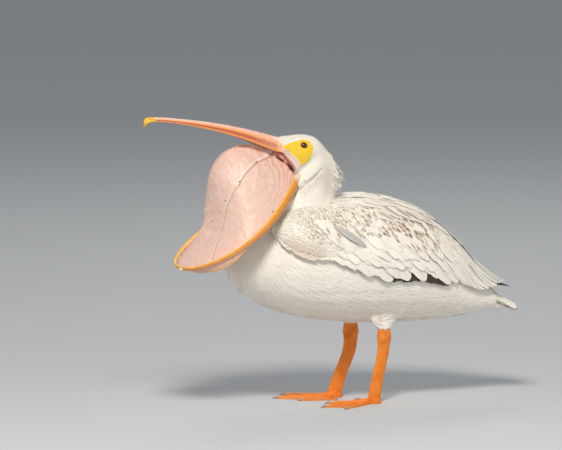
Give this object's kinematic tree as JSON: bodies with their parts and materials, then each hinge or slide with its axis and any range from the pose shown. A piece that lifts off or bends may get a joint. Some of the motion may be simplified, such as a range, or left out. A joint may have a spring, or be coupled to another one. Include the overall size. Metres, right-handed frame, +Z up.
{
  "type": "pelican",
  "caption": "Life-size still model of a standing white pelican, its bill wide open and its pouch stretched up over its drawn-back neck.",
  "frame": {"origin": "on the floor under the middle of the bird's bounding box, between and a little in front of its feet", "axes": "+Z up; the bird faces -X, its tail points to +X, and its left side is -Y"},
  "size_m": [0.9344, 0.2978, 0.6841],
  "materials": {
    "white_feather": "matt white feathers",
    "wing_feather": "matt off-white feathers with brownish spots and dark flight feathers",
    "orange_skin": "satin scaly orange skin",
    "bill_horn": "satin horn, pink to orange with yellow edges",
    "pouch_skin": "satin thin pink skin",
    "eye": "polished, near black"
  },
  "bodies": {
    "root": {"torso": "white_feather", "neck": "white_feather", "head": "white_feather", "eye_left": "eye", "eye_right": "eye", "upper_bill": "bill_horn", "lower_bill": "bill_horn", "pouch": "pouch_skin", "throat": "pouch_skin", "wing_left": "wing_feather", "wing_right": "wing_feather", "tail": "white_feather", "thigh_left": "white_feather", "thigh_right": "white_feather", "shank_left": "orange_skin", "shank_right": "orange_skin", "foot_left": "orange_skin", "foot_right": "orange_skin"}
  },
  "joints": []
}
